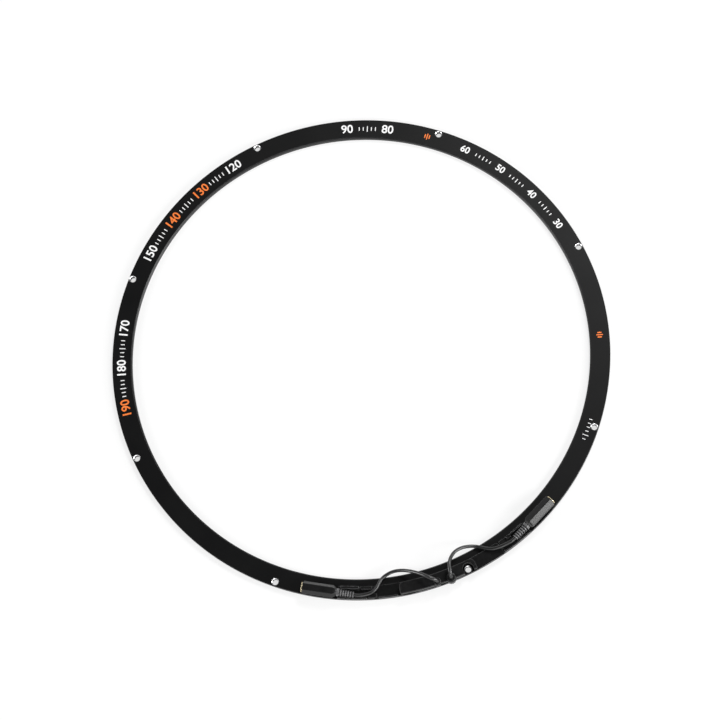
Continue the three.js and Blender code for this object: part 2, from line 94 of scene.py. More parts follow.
def twin(piece, name):
    only(piece)
    bpy.ops.object.duplicate(linked=False)
    return named(bpy.context.object, name)


def joined(pieces, name):
    only(pieces[0])
    for piece in pieces:
        piece.select_set(True)
    bpy.ops.object.join()
    return named(bpy.context.object, name)


def roundEdges(piece, width, segments=2, above=32):
    only(piece)
    bpy.ops.object.modifier_add(type="BEVEL")
    bevel = piece.modifiers[-1]
    bevel.limit_method = "ANGLE"
    bevel.angle_limit = math.radians(above)
    bevel.width = width
    bevel.segments = segments
    bevel.use_clamp_overlap = True
    bpy.ops.object.modifier_apply(modifier=bevel.name)


def smooth(piece, angle=38):
    # flat faces stay flat, and only the rounded edges between them turn the light
    only(piece)
    bpy.ops.object.shade_smooth_by_angle(angle=math.radians(angle))
    bpy.ops.object.modifier_add(type="WEIGHTED_NORMAL")
    weighted = piece.modifiers[-1]
    weighted.keep_sharp = True
    bpy.ops.object.modifier_apply(modifier=weighted.name)


def cut(piece, cutter):
    # takes the cutter out of the piece, and its finishes line the hole
    only(piece)
    bpy.ops.object.modifier_add(type="BOOLEAN")
    boolean = piece.modifiers[-1]
    boolean.operation = "DIFFERENCE"
    boolean.solver = "EXACT"
    boolean.object = cutter
    boolean.material_mode = "TRANSFER"
    bpy.ops.object.modifier_apply(modifier=boolean.name)
    bpy.data.objects.remove(cutter)


def turned(name, outline, steps, closed=False):
    # a piece turned round Z from an outline of (radius, height) points
    bpy.ops.object.select_all(action="DESELECT")
    bpy.ops.mesh.primitive_plane_add(size=mm)
    piece = named(bpy.context.object, name)
    bpy.ops.object.mode_set(mode="EDIT")
    bpy.ops.mesh.select_mode(type="VERT")
    bpy.ops.mesh.merge(type="CENTER")
    bpy.ops.transform.translate(value=(outline[0][0], 0, outline[0][1]))
    points = outline + [outline[0]] if closed else outline
    for a, b in zip(points, points[1:]):
        step = (b[0] - a[0], 0, b[1] - a[1])
        bpy.ops.mesh.extrude_vertices_move(TRANSFORM_OT_translate={"value": step})
    bpy.ops.mesh.select_all(action="SELECT")
    bpy.ops.mesh.remove_doubles(threshold=1e-7)  # where a closed outline meets its start
    bpy.ops.mesh.select_all(action="SELECT")
    bpy.ops.mesh.spin(steps=steps, angle=2 * math.pi, center=(0, 0, 0), axis=(0, 0, 1))
    bpy.ops.mesh.select_all(action="SELECT")
    bpy.ops.mesh.remove_doubles(threshold=1e-6)  # the seam, and the poles on the axis
    bpy.ops.mesh.select_all(action="SELECT")
    bpy.ops.mesh.normals_make_consistent(inside=False)
    bpy.ops.object.mode_set(mode="OBJECT")
    return piece


def fromSolid(node, name):
    # the solid's own shape as a clean mesh, ready for its edges to be rounded
    piece = bpy.data.objects.new(name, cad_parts[node].data.copy())
    scene.collection.objects.link(piece)
    named(piece, name)
    piece.data.materials.clear()
    only(piece)
    bpy.ops.mesh.customdata_custom_splitnormals_clear()
    bpy.ops.object.mode_set(mode="EDIT")
    bpy.ops.mesh.select_all(action="SELECT")
    bpy.ops.mesh.remove_doubles(threshold=2e-6)
    bpy.ops.mesh.select_all(action="SELECT")
    bpy.ops.mesh.dissolve_limited(angle_limit=math.radians(0.6))
    bpy.ops.mesh.select_all(action="SELECT")
    bpy.ops.mesh.normals_make_consistent(inside=False)
    bpy.ops.object.mode_set(mode="OBJECT")
    return piece


def around(angle, radius):
    turn = math.radians(angle)
    return radius * math.cos(turn), radius * math.sin(turn)


def fit(piece, finish, nodes=()):
    # gives a finished piece its finish, hangs it under the root, and hides the solids that it stands for
    if finish is not None:
        piece.data.materials.clear()
        piece.data.materials.append(finish)
    if nodes:
        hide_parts(*nodes)
    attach(piece, "root")
    return piece


# Finishes
def finishOf(name, look):
    # colour drifts between two shades, fine grain in bump and roughness, and paler edges, partly wear and
    # partly painted highlight
    finish = bpy.data.materials.new(name)
    finish.use_nodes = True
    tree = finish.node_tree
    add, link = tree.nodes.new, tree.links.new
    shader = tree.nodes["Principled BSDF"]
    place = add("ShaderNodeTexCoord")
    stretch = add("ShaderNodeMapping")
    stretch.inputs["Scale"].default_value = look.get("stretch", (1, 1, 1))
    link(place.outputs["Object"], stretch.inputs["Vector"])

    drift = add("ShaderNodeTexNoise")
    drift.inputs["Scale"].default_value = look["driftScale"]
    drift.inputs["Detail"].default_value = 4
    link(place.outputs["Object"], drift.inputs["Vector"])
    shades = add("ShaderNodeValToRGB")
    shades.color_ramp.elements[0].position = 0.32
    shades.color_ramp.elements[0].color = (*look["dark"], 1)
    shades.color_ramp.elements[1].position = 0.68
    shades.color_ramp.elements[1].color = (*look["light"], 1)
    link(drift.outputs["Fac"], shades.inputs["Fac"])

    grain = add("ShaderNodeTexNoise")
    grain.inputs["Scale"].default_value = look["grainScale"]
    grain.inputs["Detail"].default_value = look.get("grainDetail", 3)
    link(stretch.outputs["Vector"], grain.inputs["Vector"])
    roughness = add("ShaderNodeMapRange")
    roughness.inputs["From Min"].default_value = 0.3
    roughness.inputs["From Max"].default_value = 0.7
    roughness.inputs["To Min"].default_value = look["rough"][0]
    roughness.inputs["To Max"].default_value = look["rough"][1]
    link(grain.outputs["Fac"], roughness.inputs["Value"])
    link(roughness.outputs["Result"], shader.inputs["Roughness"])

    bump = add("ShaderNodeBump")
    bump.inputs["Strength"].default_value = look.get("bumpStrength", 0.5)
    bump.inputs["Distance"].default_value = look["bump"]
    link(grain.outputs["Fac"], bump.inputs["Height"])
    link(bump.outputs["Normal"], shader.inputs["Normal"])

    # the wear and painted highlight: where a rounded normal departs from the true one there is an edge, and
    # it is painted paler, partly as wear and partly as a painted highlight
    rounded = add("ShaderNodeBevel")
    rounded.samples = 4
    rounded.inputs["Radius"].default_value = look.get("edge", 0.25 * mm)
    surface = add("ShaderNodeNewGeometry")
    agree = add("ShaderNodeVectorMath")
    agree.operation = "DOT_PRODUCT"
    link(rounded.outputs["Normal"], agree.inputs[0])
    link(surface.outputs["Normal"], agree.inputs[1])
    edgeWearAndHighlight = add("ShaderNodeMapRange")
    edgeWearAndHighlight.inputs["From Min"].default_value = 0.995
    edgeWearAndHighlight.inputs["From Max"].default_value = 0.86
    edgeWearAndHighlight.inputs["To Min"].default_value = 0
    edgeWearAndHighlight.inputs["To Max"].default_value = look.get("wearAndHighlight", 0.5)
    link(agree.outputs["Value"], edgeWearAndHighlight.inputs["Value"])
    patchyWearAndHighlight = add("ShaderNodeMath")
    patchyWearAndHighlight.operation = "MULTIPLY"
    link(edgeWearAndHighlight.outputs["Result"], patchyWearAndHighlight.inputs[0])
    link(drift.outputs["Fac"], patchyWearAndHighlight.inputs[1])
    mixed = add("ShaderNodeMix")
    mixed.data_type = "RGBA"
    link(patchyWearAndHighlight.outputs["Value"], mixed.inputs["Factor"])
    link(shades.outputs["Color"], mixed.inputs["A"])
    mixed.inputs["B"].default_value = (*look.get("wearAndHighlightShade", look["light"]), 1)
    link(mixed.outputs["Result"], shader.inputs["Base Color"])

    shader.inputs["Metallic"].default_value = look.get("metal", 0)
    shader.inputs["Specular IOR Level"].default_value = look.get("specular", 0.5)
    return finish


# the edge colour of each look is painted on its edges, partly as wear and partly as a painted highlight
looks = {
    "anodised": {
        "dark": (0.0016, 0.0016, 0.0018), "light": (0.0030, 0.0030, 0.0031), "driftScale": 38,
        "grainScale": 5200, "rough": (0.34, 0.42), "bump": 0.012 * mm, "bumpStrength": 0.35,
        "wearAndHighlight": 1.0, "wearAndHighlightShade": (0.20, 0.20, 0.21), "edge": 0.3 * mm, "specular": 0.26,
    },
    "turnedAluminium": {
        "dark": (0.50, 0.50, 0.51), "light": (0.78, 0.78, 0.79), "driftScale": 900,
        "grainScale": 2600, "stretch": (1, 1, 9), "rough": (0.2, 0.32), "bump": 0.01 * mm,
        "metal": 1, "wearAndHighlight": 0.4, "wearAndHighlightShade": (0.95, 0.95, 0.95),
    },
    "mouldedBlack": {
        "dark": (0.0020, 0.0020, 0.0021), "light": (0.0058, 0.0058, 0.0060), "driftScale": 420,
        "grainScale": 1100, "rough": (0.30, 0.44), "bump": 0.05 * mm, "bumpStrength": 0.6,
        "wearAndHighlight": 1.0, "wearAndHighlightShade": (0.17, 0.17, 0.172), "edge": 0.3 * mm, "specular": 0.28,
    },
    # the cradles, clip and base get broad pale edges, painted highlights more than wear
    "cradleBlack": {
        "dark": (0.0022, 0.0022, 0.0023), "light": (0.0048, 0.0048, 0.0050), "driftScale": 220,
        "grainScale": 2200, "rough": (0.26, 0.38), "bump": 0.03 * mm, "bumpStrength": 0.5,
        "wearAndHighlight": 1.0, "wearAndHighlightShade": (0.42, 0.42, 0.425), "edge": 0.42 * mm, "specular": 0.4,
    },
    "baseBlack": {
        "dark": (0.0014, 0.0014, 0.0015), "light": (0.0044, 0.0044, 0.0046), "driftScale": 500,
        "grainScale": 1100, "rough": (0.30, 0.44), "bump": 0.06 * mm, "bumpStrength": 0.6,
        "wearAndHighlight": 1.0, "wearAndHighlightShade": (0.36, 0.36, 0.365), "edge": 0.42 * mm, "specular": 0.24,
    },
    # painted shade: the dark grooves between a relief's ribs
    "shadedGrooveRubber": {
        "dark": (0.0014, 0.0014, 0.0014), "light": (0.0028, 0.0028, 0.0029), "driftScale": 220,
        "grainScale": 2900, "rough": (0.45, 0.60), "bump": 0.012 * mm, "bumpStrength": 0.4,
        "wearAndHighlight": 0.0, "specular": 0.2,
    },
    # painted highlight: the pale rib tops and collar of a relief
    "highlitRibRubber": {
        "dark": (0.080, 0.080, 0.082), "light": (0.140, 0.140, 0.143), "driftScale": 220,
        "grainScale": 2900, "rough": (0.22, 0.34), "bump": 0.012 * mm, "bumpStrength": 0.4,
        "wearAndHighlight": 1.0, "wearAndHighlightShade": (0.45, 0.45, 0.45), "edge": 0.3 * mm,
    },
    "socketBlack": {
        "dark": (0.0038, 0.0038, 0.0040), "light": (0.0072, 0.0072, 0.0074), "driftScale": 120,
        "grainScale": 2600, "rough": (0.26, 0.36), "bump": 0.012 * mm, "bumpStrength": 0.4,
        "wearAndHighlight": 0.5, "wearAndHighlightShade": (0.12, 0.12, 0.12), "edge": 0.24 * mm, "specular": 0.36,
    },
    "rubber": {
        "dark": (0.0030, 0.0030, 0.0030), "light": (0.0065, 0.0065, 0.0067), "driftScale": 160,
        "grainScale": 2900, "rough": (0.28, 0.40), "bump": 0.012 * mm, "bumpStrength": 0.4,
        "wearAndHighlight": 1.0, "wearAndHighlightShade": (0.42, 0.42, 0.42), "edge": 0.36 * mm,
    },
    "jacket": {
        "dark": (0.0050, 0.0050, 0.0052), "light": (0.0090, 0.0090, 0.0094), "driftScale": 140,
        "grainScale": 4000, "rough": (0.30, 0.40), "bump": 0.004 * mm, "bumpStrength": 0.3,
        "wearAndHighlight": 0.0, "specular": 0.7,
    },
    "plated": {
        "dark": (0.66, 0.55, 0.34), "light": (0.90, 0.80, 0.56), "driftScale": 420,
        "grainScale": 3200, "rough": (0.18, 0.3), "bump": 0.006 * mm,
        "metal": 0.6, "wearAndHighlight": 0.5, "wearAndHighlightShade": (0.98, 0.93, 0.78),
    },
    "nickel": {
        "dark": (0.55, 0.56, 0.58), "light": (0.82, 0.83, 0.85), "driftScale": 500,
        "grainScale": 3600, "rough": (0.16, 0.3), "bump": 0.005 * mm,
        "metal": 1, "wearAndHighlight": 0.5, "wearAndHighlightShade": (0.95, 0.95, 0.96),
    },
    "insulator": {
        "dark": (0.018, 0.018, 0.019), "light": (0.03, 0.03, 0.031), "driftScale": 260,
        "grainScale": 3000, "rough": (0.4, 0.55), "bump": 0.008 * mm, "wearAndHighlight": 0.4,
        "wearAndHighlightShade": (0.1, 0.1, 0.1),
    },
    "steel": {
        "dark": (0.30, 0.31, 0.33), "light": (0.52, 0.53, 0.55), "driftScale": 420,
        "grainScale": 4200, "rough": (0.24, 0.4), "bump": 0.008 * mm, "metal": 1, "wearAndHighlight": 0.6,
        "wearAndHighlightShade": (0.8, 0.8, 0.82),
    },
    "copper": {
        "dark": (0.50, 0.20, 0.09), "light": (0.80, 0.38, 0.20), "driftScale": 220,
        "grainScale": 1800, "rough": (0.3, 0.48), "bump": 0.02 * mm, "metal": 1, "wearAndHighlight": 0.5,
        "wearAndHighlightShade": (0.95, 0.60, 0.40),
    },
    "film": {
        "dark": (0.012, 0.011, 0.010), "light": (0.022, 0.020, 0.018), "driftScale": 60,
        "grainScale": 900, "rough": (0.3, 0.5), "bump": 0.03 * mm, "wearAndHighlight": 0.4,
        "wearAndHighlightShade": (0.07, 0.07, 0.07),
    },
    "board": {
        "dark": (0.006, 0.075, 0.028), "light": (0.014, 0.14, 0.05), "driftScale": 700,
        "grainScale": 1600, "rough": (0.3, 0.5), "bump": 0.03 * mm, "wearAndHighlight": 0.6,
        "wearAndHighlightShade": (0.45, 0.40, 0.22),
    },
    "bead": {
        "dark": (0.030, 0.018, 0.010), "light": (0.055, 0.034, 0.02), "driftScale": 500,
        "grainScale": 2400, "rough": (0.25, 0.4), "bump": 0.01 * mm, "wearAndHighlight": 0.4,
        "wearAndHighlightShade": (0.14, 0.10, 0.07),
    },
    "whiteInk": {
        "dark": (0.74, 0.74, 0.74), "light": (0.88, 0.88, 0.88), "driftScale": 700,
        "grainScale": 5200, "rough": (0.45, 0.6), "bump": 0.01 * mm, "wearAndHighlight": 0.5,
        "wearAndHighlightShade": (0.55, 0.55, 0.55), "edge": 0.12 * mm,
    },
    "orangeInk": {
        "dark": (0.74, 0.150, 0.020), "light": (0.88, 0.215, 0.034), "driftScale": 700,
        "grainScale": 5200, "rough": (0.45, 0.6), "bump": 0.01 * mm, "wearAndHighlight": 0.5,
        "wearAndHighlightShade": (0.55, 0.10, 0.02), "edge": 0.12 * mm,
    },
}
finishes = {name: finishOf(name, look) for name, look in looks.items()}
print("finishes ready:", len(finishes))

# Leads, along the same routes as the solids
leadSet = {"diameter": 2.6 * mm, "smoothness": 6, "steps": 8, "tuckIn": 1.4 * mm}
leadRoutes = {
    "power": [
        (49.4, -184.6, 12.2), (49, -184.5, 14.4), (47.6, -183.9, 16.5), (45, -182.8, 17.6),
        (41.6, -181.1, 17.3), (37.5, -178.9, 15.7), (32.4, -176.6, 13), (27, -174.8, 10.1),
        (21.7, -173.9, 7.9), (16.4, -174.2, 6.3), (12.1, -175.8, 5.8), (8.7, -178.1, 6),
        (6.5, -180.7, 6.7), (4.9, -183.5, 7.5), (3.2, -186.2, 8.1), (0.8, -188.4, 8.5),
        (-2.6, -189.9, 8.6), (-6.6, -190.6, 8.55), (-10.4, -190.58, 8.55), (-13.41, -189.98, 8.55),
    ],
    "sensor": [
        (59.8, -182.3, 12.2), (59.7, -181.9, 14.4), (59.5, -180.4, 16.6), (59.2, -177.7, 17.8),
        (59.1, -174.4, 17.7), (59.6, -170.5, 16.5), (61.4, -166.2, 14.2), (64.4, -162.6, 11.6),
        (68.7, -160.1, 9), (73.9, -158.9, 7), (79.1, -159, 6.1), (83.5, -160.1, 6.5),
        (87.6, -161.3, 7.3), (91.7, -161.9, 7.9), (95.9, -161.4, 8.5), (100.3, -160.1, 9),
        (104.3, -158.4, 9.2), (107.36, -156.91, 9.2), (109.18, -155.2, 9.2),
    ],
}


def routeInMetres(side):
    route = [[c * mm for c in point] for point in leadRoutes[side]]
    start = [route[0][0], route[0][1], route[0][2] - leadSet["tuckIn"]]
    a, b = route[-2], route[-1]
    reach = math.dist(a, b)
    end = [q + (q - p) / reach * leadSet["tuckIn"] for p, q in zip(a, b)]
    return [start] + route + [end]


for side in leadRoutes:
    route = routeInMetres(side)
    bpy.ops.object.select_all(action="DESELECT")
    bpy.ops.curve.primitive_bezier_curve_add()
    lead = named(bpy.context.object, side + "Lead")
    lead.data.splines.clear()
    spline = lead.data.splines.new("BEZIER")
    spline.bezier_points.add(len(route) - 1)
    for knot, point in zip(spline.bezier_points, route):
        knot.co = point
        knot.handle_left_type = knot.handle_right_type = "AUTO"
    lead.data.dimensions = "3D"
    lead.data.resolution_u = leadSet["steps"]
    lead.data.bevel_depth = leadSet["diameter"] / 2
    lead.data.bevel_resolution = leadSet["smoothness"]
    lead.data.use_fill_caps = True
    bpy.context.view_layer.update()
    fit(lead, finishes["jacket"], [side + "_lead"])

# Sockets: each is made along Z with its mouth up, then laid along the ring
socketSet = {
    "sides": 6, "length": 25.4, "acrossFlats": 8.5, "tail": 2.6, "tailRadius": 3.2, "mouthChamfer": 0.5,
    "softEdge": 0.25, "sleeveDepth": 11, "sleeveWall": 0.6, "rim": 0.6, "seat": 0.3, "bore": 0.3,
    "insulatorRecess": 1.2, "insulatorTail": 8.5, "contactDepth": 9.5, "contactRoot": 3.5,
    "sleeveEdge": 0.14, "insulatorEdge": 0.12, "past": 2, "overlap": 0.4, "steps": 64, "smallSteps": 40,
}
bodyRadius = socketSet["acrossFlats"] / 2 / math.cos(math.pi / socketSet["sides"])
seatHeight = 4.3
sockets = {
    "power": {"angle": -102.05, "radius": 188.6, "forward": -1, "edgeUp": False, "sleeve": 3.3,
              "sleeveRim": 3.8, "contactBore": 1.7, "contact": 0.8, "reach": 8.5,
              "height": seatHeight + socketSet["acrossFlats"] / 2},
    "sensor": {"angle": -46.84, "radius": 187.9, "forward": 1, "edgeUp": True, "sleeve": 3,
               "sleeveRim": 3.5, "contactBore": 1.4, "contact": 0.8, "reach": 3,
               "height": seatHeight + bodyRadius},
}
reliefSet = {
    "stub": 1.8, "stubLength": 3.5, "collar": 2.9, "collarLength": 2,
    "ribs": 6, "pitch": 1.87, "width": 1.05, "radius": 2.5, "taper": 0.4, "root": 1.6,
    "round": 0.22, "highlightRadius": 1.95, "steps": 48,
}


def layAlong(piece, socket):
    piece.rotation_euler = (0, math.pi / 2, math.radians(socket["angle"] + socket["forward"] * 90))
    x, y = around(socket["angle"], socket["radius"] * mm)
    piece.location = (x, y, socket["height"] * mm)
    settle(piece)


def inMetres(outline):
    return [(radius * mm, height * mm) for radius, height in outline]


def makeBody(name, socket):
    s = socketSet
    mouth = s["length"] / 2
    straight = s["length"] - s["tail"]
    bpy.ops.object.select_all(action="DESELECT")
    bpy.ops.mesh.primitive_cylinder_add(
        vertices=s["sides"], radius=bodyRadius * mm, depth=straight * mm,
        location=(0, 0, s["tail"] / 2 * mm))
    body = named(bpy.context.object, name)
    # laid down, local X points down, so a corner there leaves a corner on top
    turn = 0 if socket["edgeUp"] else math.pi / s["sides"]
    body.rotation_euler = (0, 0, math.pi / 2 + turn)
    settle(body)
    pick(body, "FACE", lambda face: face.normal.z < -0.9)
    bpy.ops.mesh.extrude_region_move(TRANSFORM_OT_translate={"value": (0, 0, -s["tail"] * mm)})
    narrow = s["tailRadius"] / bodyRadius
    bpy.ops.transform.resize(value=(narrow, narrow, 1), center_override=(0, 0, -mouth * mm))
    pick(body, "FACE", lambda face: face.normal.z > 0.9)
    bpy.ops.mesh.region_to_loop()
    bpy.ops.mesh.bevel(offset=s["mouthChamfer"] * mm, segments=3)
    bpy.ops.object.mode_set(mode="OBJECT")
    sleeveHole = socket["sleeve"] + s["bore"]
    coreHole = socket["sleeve"] - s["sleeveWall"]
    shelf = mouth - s["sleeveDepth"] - s["seat"]
    core = mouth - s["sleeveDepth"] - s["insulatorTail"] - s["seat"]
    cavity = turned("cavity", inMetres([
        (0, core), (coreHole, core), (coreHole, shelf), (sleeveHole, shelf),
        (sleeveHole, mouth + s["past"]), (0, mouth + s["past"]),
    ]), s["steps"])
    roundEdges(body, s["softEdge"] * mm, 3)
    cut(body, cavity)
    stubHole = reliefSet["stub"] + s["bore"]
    entry = turned("entry", inMetres([
        (0, -mouth - s["past"]), (stubHole, -mouth - s["past"]),
        (stubHole, core + s["overlap"]), (0, core + s["overlap"]),
    ]), s["steps"] // 2)
    cut(body, entry)
    return body


def makeSleeve(name, socket):
    s = socketSet
    mouth = s["length"] / 2
    inner, outer = socket["sleeve"] - s["sleeveWall"], socket["sleeve"]
    lip = mouth + s["seat"]
    sleeve = turned(name, inMetres([
        (inner, mouth - s["sleeveDepth"]), (outer, mouth - s["sleeveDepth"]), (outer, lip),
        (socket["sleeveRim"], lip), (socket["sleeveRim"], lip + s["rim"]), (inner, lip + s["rim"]),
    ]), s["steps"], closed=True)
    roundEdges(sleeve, s["sleeveEdge"] * mm, 3)
    return sleeve


def makeInsulator(name, socket):
    s = socketSet
    mouth = s["length"] / 2
    radius = socket["sleeve"] - s["sleeveWall"] - s["bore"]
    face = mouth - s["insulatorRecess"]
    floor = face - s["contactDepth"]
    root = socket["contact"] + s["bore"]
    foot = floor - s["contactRoot"] - s["seat"]
    back = mouth - s["sleeveDepth"] - s["insulatorTail"]
    insulator = turned(name, inMetres([
        (0, back), (radius, back), (radius, face), (socket["contactBore"], face),
        (socket["contactBore"], floor), (root, floor), (root, foot), (0, foot),
    ]), s["steps"])
    roundEdges(insulator, s["insulatorEdge"] * mm, 2)
    return insulator


def makeContact(name, socket):
    s = socketSet
    floor = s["length"] / 2 - s["insulatorRecess"] - s["contactDepth"]
    foot = floor - s["contactRoot"]
    tip = floor + socket["reach"]
    radius = socket["contact"]
    # the pin's end is a half ball
    nose = [(radius * math.cos(t), tip - radius + radius * math.sin(t))
            for t in (k * math.pi / 12 for k in range(7))]
    nose[-1] = (0, tip)
    return turned(name, inMetres([(0, foot), (radius, foot)] + nose), s["smallSteps"])


def makeRelief(name):
    r = reliefSet
    tail = -socketSet["length"] / 2
    collar = tail - socketSet["seat"]
    ribStart = collar - r["collarLength"]
    outline = [(0, tail + r["stubLength"]), (r["stub"], tail + r["stubLength"]), (r["stub"], collar),
               (r["collar"], collar), (r["collar"], ribStart)]
    for k in range(r["ribs"]):
        radius = r["radius"] - r["taper"] * k / (r["ribs"] - 1)
        front = ribStart - k * r["pitch"] - (r["pitch"] - r["width"])
        outline += [(r["root"], front + r["pitch"] - r["width"]), (r["root"], front), (radius, front),
                    (radius, front - r["width"])]
    outline.append((0, ribStart - r["ribs"] * r["pitch"]))
    relief = turned(name, inMetres(outline), r["steps"])
    roundEdges(relief, r["round"] * mm, 3)
    # the ribs' tops and the collar are painted paler as a highlight, and the grooves darker as painted
    # shade
    relief.data.materials.append(finishes["shadedGrooveRubber"])
    relief.data.materials.append(finishes["highlitRibRubber"])
    for face in relief.data.polygons:
        face.material_index = int(math.hypot(face.center.x, face.center.y) > r["highlightRadius"] * mm)
    return relief


for side, socket in sockets.items():
    makers = {
        "Body": (makeBody, "socketBlack", "socket"),
        "Sleeve": (makeSleeve, "plated", "plated"),
        "Insulator": (makeInsulator, "insulator", "insulator"),
        "Contact": (makeContact, "nickel", "nickel"),
    }
    for part, (make, finish, slot) in makers.items():
        piece = make(side + part, socket)
        layAlong(piece, socket)
        smooth(piece)
        fit(piece, finishes[finish], [side + "_" + part.lower()])
    relief = makeRelief(side + "Relief")
    layAlong(relief, socket)
    smooth(relief)
    fit(relief, None, [side + "_relief"])
print("sockets ready")

# Ring
ringSet = {
    "bore": 178, "width": 15.5, "thickness": 4, "boreChamfer": 0.8, "rimChamfer": 0.25, "steps": 384,
    "grooveInset": 1.6, "grooveWidth": 7.2, "grooveDepth": 1.6, "under": -1, "over": 0.5,
    "holes": 8, "holeInset": 3.3, "hole": 4.5, "sink": 5.6, "sinkDepth": 0.55, "holeSteps": 48,
    "softEdge": 0.07,
}
r = ringSet
rim = r["bore"] + r["width"]
groove = r["bore"] + r["grooveInset"]
grooveEnd = groove + r["grooveWidth"]
front = r["thickness"]
ring = turned("ring", inMetres([
    (r["bore"], 0), (groove, 0), (groove, r["grooveDepth"]), (grooveEnd, r["grooveDepth"]),
    (grooveEnd, 0), (rim, 0), (rim, front - r["rimChamfer"]), (rim - r["rimChamfer"], front),
    (r["bore"] + r["boreChamfer"], front), (r["bore"], front - r["boreChamfer"]),
]), r["steps"], closed=True)
roundEdges(ring, r["softEdge"] * mm, 2, above=25)
ring.data.materials.append(finishes["anodised"])


def holeCutter(name):
    slope = (r["sink"] - r["hole"]) / 2 / r["sinkDepth"]
    top = r["thickness"] + r["over"]
    return turned(name, inMetres([
        (0, r["under"]), (r["hole"] / 2, r["under"]), (r["hole"] / 2, r["thickness"] - r["sinkDepth"]),
        (r["sink"] / 2 + r["over"] * slope, top), (0, top),
    ]), r["holeSteps"])


master = holeCutter("holeCutter")
for finish in ("anodised", "turnedAluminium"):
    master.data.materials.append(finishes[finish])
for face in master.data.polygons:
    # the sloping faces cut the bright sink, the upright ones the dark wall
    face.material_index = int(-0.9 < face.normal.z < -0.2)
cutters = []
for k in range(r["holes"]):
    x, y = around((k + 0.5) * 360 / r["holes"], (rim - r["holeInset"]) * mm)
    cutter = twin(master, "hole%d" % k)
    cutter.location = (x, y, 0)
    settle(cutter)
    cutters.append(cutter)
bpy.data.objects.remove(master)
cut(ring, joined(cutters, "holes"))

# holes for the base's screws and their heads, the heater wires and the thermistor:
# angle, circle, lower and upper end, radius
drillSet = {
    "places": [
        (-87.2, 189.5, -1, 5, 1.3), (-61.6, 189.5, -1, 5, 1.3),
        (-87.2, 189.5, -1, 1.4, 2.1), (-61.6, 189.5, -1, 1.4, 2.1),
        (-79.26, 186.15, -1, 5, 0.75), (-79.94, 186.15, -1, 5, 0.75), (-81.7, 189.2, 2.0, 5, 1.7),
    ],
    "steps": 32,
}
for angle, radius, low, high, half in drillSet["places"]:
    x, y = around(angle, radius * mm)
    outline = [(0, low), (half, low), (half, high), (0, high)]
    drill = turned("drill", inMetres(outline), drillSet["steps"])
    drill.location = (x, y, 0)
    settle(drill)
    drill.data.materials.append(finishes["turnedAluminium"])
    cut(ring, drill)
smooth(ring, 30)
fit(ring, None, ["ring_frame"])
print("ring ready:", len(ring.data.polygons), "faces")

# Module, cradles and clip: name, width of the soft edge in mm, finish and slot
moduleSet = {
    "module_base": ("base", 0.3, "baseBlack", "moulded"),
    "module_cover": ("cover", 0.45, "mouldedBlack", "moulded"),
    "power_cradle": ("powerCradle", 0.28, "cradleBlack", "moulded"),
    "sensor_cradle": ("sensorCradle", 0.28, "cradleBlack", "moulded"),
    "lead_clip": ("clip", 0.25, "cradleBlack", "moulded"),
}
for node, (name, edge, finish, slot) in moduleSet.items():
    piece = fromSolid(node, name)
    roundEdges(piece, edge * mm, 2)
    smooth(piece, 40)
    fit(piece, finishes[finish], [node])

grommetSet = {
    "bore": 1.6, "neck": 2.5, "neckFrom": 9.3, "bottom": 10.8, "flange": 1.1, "softEdge": 0.32, "steps": 48,
}
ports = {
    "power": {"angle": -75.05, "radius": 191.0, "flangeRadius": 2.6},
    "sensor": {"angle": -71.85, "radius": 191.8, "flangeRadius": 3.3},
}
for side, port in ports.items():
    g = grommetSet
    top = g["bottom"] + g["flange"]
    grommet = turned(side + "Grommet", inMetres([
        (g["bore"], g["neckFrom"]), (g["neck"], g["neckFrom"]), (g["neck"], g["bottom"]),
        (port["flangeRadius"], g["bottom"]), (port["flangeRadius"], top), (g["bore"], top),
    ]), g["steps"], closed=True)
    roundEdges(grommet, g["softEdge"] * mm, 4)
    x, y = around(port["angle"], port["radius"] * mm)
    grommet.location = (x, y, 0)
    settle(grommet)
    smooth(grommet)
    fit(grommet, finishes["rubber"], [side + "_grommet"])
print("module ready")

# Dial: plain numbers and marks printed on the ring's face
dialSet = {
    "middle": 185.9, "lift": 0.03, "sunk": 0.02, "size": 9.6, "smallSize": 7.6, "weight": 0.16,
    "numbers": {
        "white": [180, 170, 150, 120, 90, 80], "orange": [190, 140, 130],
        "small": [60, 50, 40, 30],
    },
    # arcs of ticks: first and last angle, length of a tick
    "tickArcs": [(190, 170, 3.2), (150, 120, 3.2), (90, 80, 3.2), (60, 30, 2.4)], "tickWidth": 0.7,
    "nearNumber": 3, "longer": 1.5,
    "pointers": [70, 0], "pointerStrokes": [(-0.55, 3.4), (0, 5.2), (0.55, 3.4)], "pointerWidth": 0.9,
    "scaleFrom": -21, "scaleTicks": [2.6, 2.6, 2.6, 2.6, 4.6, 2.6], "scaleWidth": 0.5,
}


def printed(text, size, angle, radius):
    bpy.ops.object.select_all(action="DESELECT")
    bpy.ops.object.text_add()
    label = bpy.context.object
    label.data.body = text
    label.data.size = size * mm
    label.data.align_x = "CENTER"
    label.data.align_y = "CENTER"
    label.data.offset = dialSet["weight"] * mm
    label.data.extrude = (dialSet["lift"] + dialSet["sunk"]) / 2 * mm
    label.data.resolution_u = 6
    only(label)
    bpy.ops.object.convert(target="MESH")
    label = bpy.context.object
    x, y = around(angle, radius * mm)
    label.location = (x, y, (ringSet["thickness"] + (dialSet["lift"] - dialSet["sunk"]) / 2) * mm)
    label.rotation_euler = (0, 0, math.radians(angle - 90))
    settle(label)
    return label


